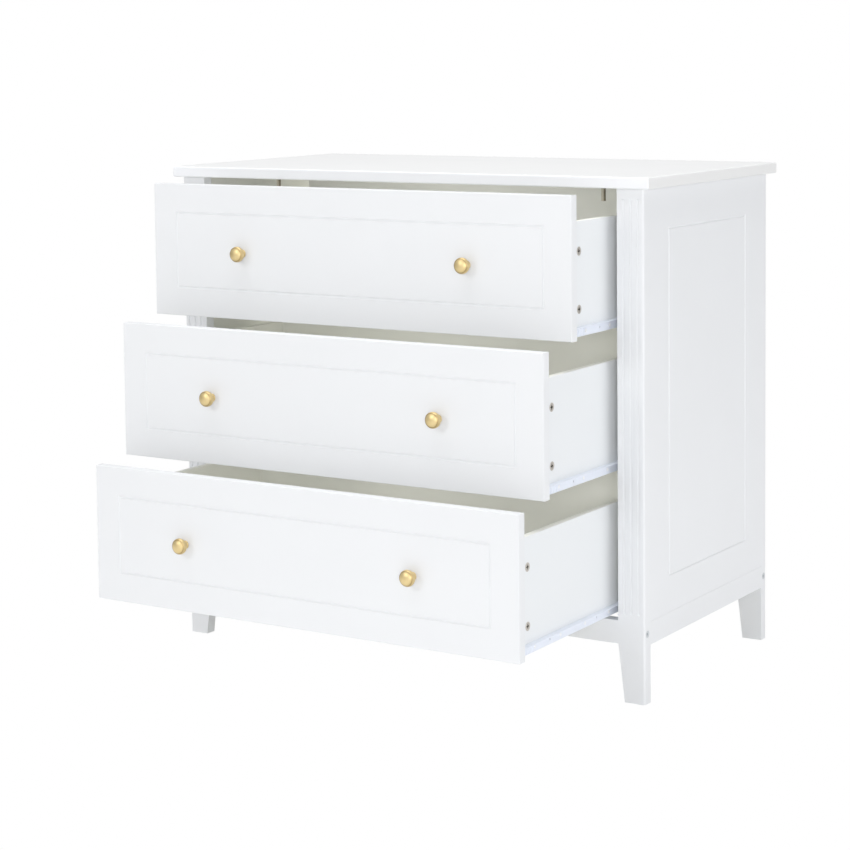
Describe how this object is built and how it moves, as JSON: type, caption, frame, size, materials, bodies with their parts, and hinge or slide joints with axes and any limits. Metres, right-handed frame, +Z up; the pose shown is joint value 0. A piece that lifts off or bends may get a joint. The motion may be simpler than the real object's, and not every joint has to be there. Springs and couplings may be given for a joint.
{
  "type": "chest of drawers",
  "caption": "Free-standing chest of drawers with fluted posts, tapered legs, routed panels, round knobs and roller-runner drawers standing open.",
  "frame": {"origin": "on the floor, under the middle of the whole footprint with the drawers open as at rest", "axes": "+X along the width to the right as seen from the front, +Y from the front to the back, +Z up"},
  "size_m": [1, 0.873, 0.895],
  "materials": {
    "white_paint": "white satin paint on wood",
    "drawer_box_board": "white painted board",
    "drawer_bottom_board": "white faced fibreboard",
    "back_hardboard": "white faced hardboard",
    "batten_wood": "white painted batten",
    "peg_beech": "bare beech dowel",
    "knob_metal": "satin brushed gold plating",
    "fitting_zinc": "zinc die cast and plated steel",
    "bolt_steel": "white lacquered steel",
    "runner_steel": "white epoxy coated pressed steel",
    "roller_nylon": "moulded nylon"
  },
  "bodies": {
    "case": {"back_panel": "back_hardboard", "bottom_left_case_runner": "runner_steel", "bottom_right_case_runner": "runner_steel", "front_left_post": "white_paint", "front_rail": "white_paint", "front_right_post": "white_paint", "left_side_panel": "white_paint", "left_side_rail": "white_paint", "leg_bolts": "bolt_steel", "middle_left_case_runner": "runner_steel", "middle_right_case_runner": "runner_steel", "rear_left_post": "white_paint", "rear_rail": "white_paint", "rear_right_post": "white_paint", "right_side_panel": "white_paint", "right_side_rail": "white_paint", "runner_battens": "batten_wood", "stop_pegs": "peg_beech", "top_board": "white_paint", "top_left_case_runner": "runner_steel", "top_right_case_runner": "runner_steel"},
    "bottom_drawer": {"bottom_drawer_back": "drawer_box_board", "bottom_drawer_bottom": "drawer_bottom_board", "bottom_drawer_fittings": "fitting_zinc", "bottom_drawer_front": "white_paint", "bottom_drawer_knobs": "knob_metal", "bottom_drawer_left_runner": "runner_steel", "bottom_drawer_left_side": "drawer_box_board", "bottom_drawer_right_runner": "runner_steel", "bottom_drawer_right_side": "drawer_box_board"},
    "middle_drawer": {"middle_drawer_back": "drawer_box_board", "middle_drawer_bottom": "drawer_bottom_board", "middle_drawer_fittings": "fitting_zinc", "middle_drawer_front": "white_paint", "middle_drawer_knobs": "knob_metal", "middle_drawer_left_runner": "runner_steel", "middle_drawer_left_side": "drawer_box_board", "middle_drawer_right_runner": "runner_steel", "middle_drawer_right_side": "drawer_box_board"},
    "top_drawer": {"top_drawer_back": "drawer_box_board", "top_drawer_bottom": "drawer_bottom_board", "top_drawer_fittings": "fitting_zinc", "top_drawer_front": "white_paint", "top_drawer_knobs": "knob_metal", "top_drawer_left_runner": "runner_steel", "top_drawer_left_side": "drawer_box_board", "top_drawer_right_runner": "runner_steel", "top_drawer_right_side": "drawer_box_board"},
    "bottom_left_front_roller": {"bottom_left_front_roller": "roller_nylon"},
    "bottom_left_rear_roller": {"bottom_left_rear_roller": "roller_nylon"},
    "bottom_right_front_roller": {"bottom_right_front_roller": "roller_nylon"},
    "bottom_right_rear_roller": {"bottom_right_rear_roller": "roller_nylon"},
    "middle_left_front_roller": {"middle_left_front_roller": "roller_nylon"},
    "middle_left_rear_roller": {"middle_left_rear_roller": "roller_nylon"},
    "middle_right_front_roller": {"middle_right_front_roller": "roller_nylon"},
    "middle_right_rear_roller": {"middle_right_rear_roller": "roller_nylon"},
    "top_left_front_roller": {"top_left_front_roller": "roller_nylon"},
    "top_left_rear_roller": {"top_left_rear_roller": "roller_nylon"},
    "top_right_front_roller": {"top_right_front_roller": "roller_nylon"},
    "top_right_rear_roller": {"top_right_rear_roller": "roller_nylon"}
  },
  "joints": [
    {"name": "bottom_drawer_slide", "type": "slide", "parent": "case", "child": "bottom_drawer", "axis": [0, -1, 0], "range_m": [-0.33, 0.01]},
    {"name": "middle_drawer_slide", "type": "slide", "parent": "case", "child": "middle_drawer", "axis": [0, -1, 0], "range_m": [-0.2475, 0.0925]},
    {"name": "top_drawer_slide", "type": "slide", "parent": "case", "child": "top_drawer", "axis": [0, -1, 0], "range_m": [-0.1525, 0.1765]},
    {"name": "bottom_left_front_roller_spin", "type": "hinge", "parent": "case", "child": "bottom_left_front_roller", "pos_m": [-0.4245, -0.0435, 0.1528], "axis": [1, 0, 0], "continuous": true},
    {"name": "bottom_left_rear_roller_spin", "type": "hinge", "parent": "bottom_drawer", "child": "bottom_left_rear_roller", "pos_m": [-0.4245, 0.0405, 0.1528], "axis": [1, 0, 0], "continuous": true},
    {"name": "bottom_right_front_roller_spin", "type": "hinge", "parent": "case", "child": "bottom_right_front_roller", "pos_m": [0.4245, -0.0435, 0.1528], "axis": [1, 0, 0], "continuous": true},
    {"name": "bottom_right_rear_roller_spin", "type": "hinge", "parent": "bottom_drawer", "child": "bottom_right_rear_roller", "pos_m": [0.4245, 0.0405, 0.1528], "axis": [1, 0, 0], "continuous": true},
    {"name": "middle_left_front_roller_spin", "type": "hinge", "parent": "case", "child": "middle_left_front_roller", "pos_m": [-0.4245, -0.0435, 0.3978], "axis": [1, 0, 0], "continuous": true},
    {"name": "middle_left_rear_roller_spin", "type": "hinge", "parent": "middle_drawer", "child": "middle_left_rear_roller", "pos_m": [-0.4245, 0.123, 0.3978], "axis": [1, 0, 0], "continuous": true},
    {"name": "middle_right_front_roller_spin", "type": "hinge", "parent": "case", "child": "middle_right_front_roller", "pos_m": [0.4245, -0.0435, 0.3978], "axis": [1, 0, 0], "continuous": true},
    {"name": "middle_right_rear_roller_spin", "type": "hinge", "parent": "middle_drawer", "child": "middle_right_rear_roller", "pos_m": [0.4245, 0.123, 0.3978], "axis": [1, 0, 0], "continuous": true},
    {"name": "top_left_front_roller_spin", "type": "hinge", "parent": "case", "child": "top_left_front_roller", "pos_m": [-0.4245, -0.0435, 0.6428], "axis": [1, 0, 0], "continuous": true},
    {"name": "top_left_rear_roller_spin", "type": "hinge", "parent": "top_drawer", "child": "top_left_rear_roller", "pos_m": [-0.4245, 0.218, 0.6428], "axis": [1, 0, 0], "continuous": true},
    {"name": "top_right_front_roller_spin", "type": "hinge", "parent": "case", "child": "top_right_front_roller", "pos_m": [0.4245, -0.0435, 0.6428], "axis": [1, 0, 0], "continuous": true},
    {"name": "top_right_rear_roller_spin", "type": "hinge", "parent": "top_drawer", "child": "top_right_rear_roller", "pos_m": [0.4245, 0.218, 0.6428], "axis": [1, 0, 0], "continuous": true}
  ],
  "couplings": [
    {"joint": "bottom_left_front_roller_spin", "follows": "bottom_drawer_slide", "rad_per_m": 111.11},
    {"joint": "bottom_left_rear_roller_spin", "follows": "bottom_drawer_slide", "rad_per_m": 111.11},
    {"joint": "bottom_right_front_roller_spin", "follows": "bottom_drawer_slide", "rad_per_m": 111.11},
    {"joint": "bottom_right_rear_roller_spin", "follows": "bottom_drawer_slide", "rad_per_m": 111.11},
    {"joint": "middle_left_front_roller_spin", "follows": "middle_drawer_slide", "rad_per_m": 111.11},
    {"joint": "middle_left_rear_roller_spin", "follows": "middle_drawer_slide", "rad_per_m": 111.11},
    {"joint": "middle_right_front_roller_spin", "follows": "middle_drawer_slide", "rad_per_m": 111.11},
    {"joint": "middle_right_rear_roller_spin", "follows": "middle_drawer_slide", "rad_per_m": 111.11},
    {"joint": "top_left_front_roller_spin", "follows": "top_drawer_slide", "rad_per_m": 111.11},
    {"joint": "top_left_rear_roller_spin", "follows": "top_drawer_slide", "rad_per_m": 111.11},
    {"joint": "top_right_front_roller_spin", "follows": "top_drawer_slide", "rad_per_m": 111.11},
    {"joint": "top_right_rear_roller_spin", "follows": "top_drawer_slide", "rad_per_m": 111.11}
  ]
}
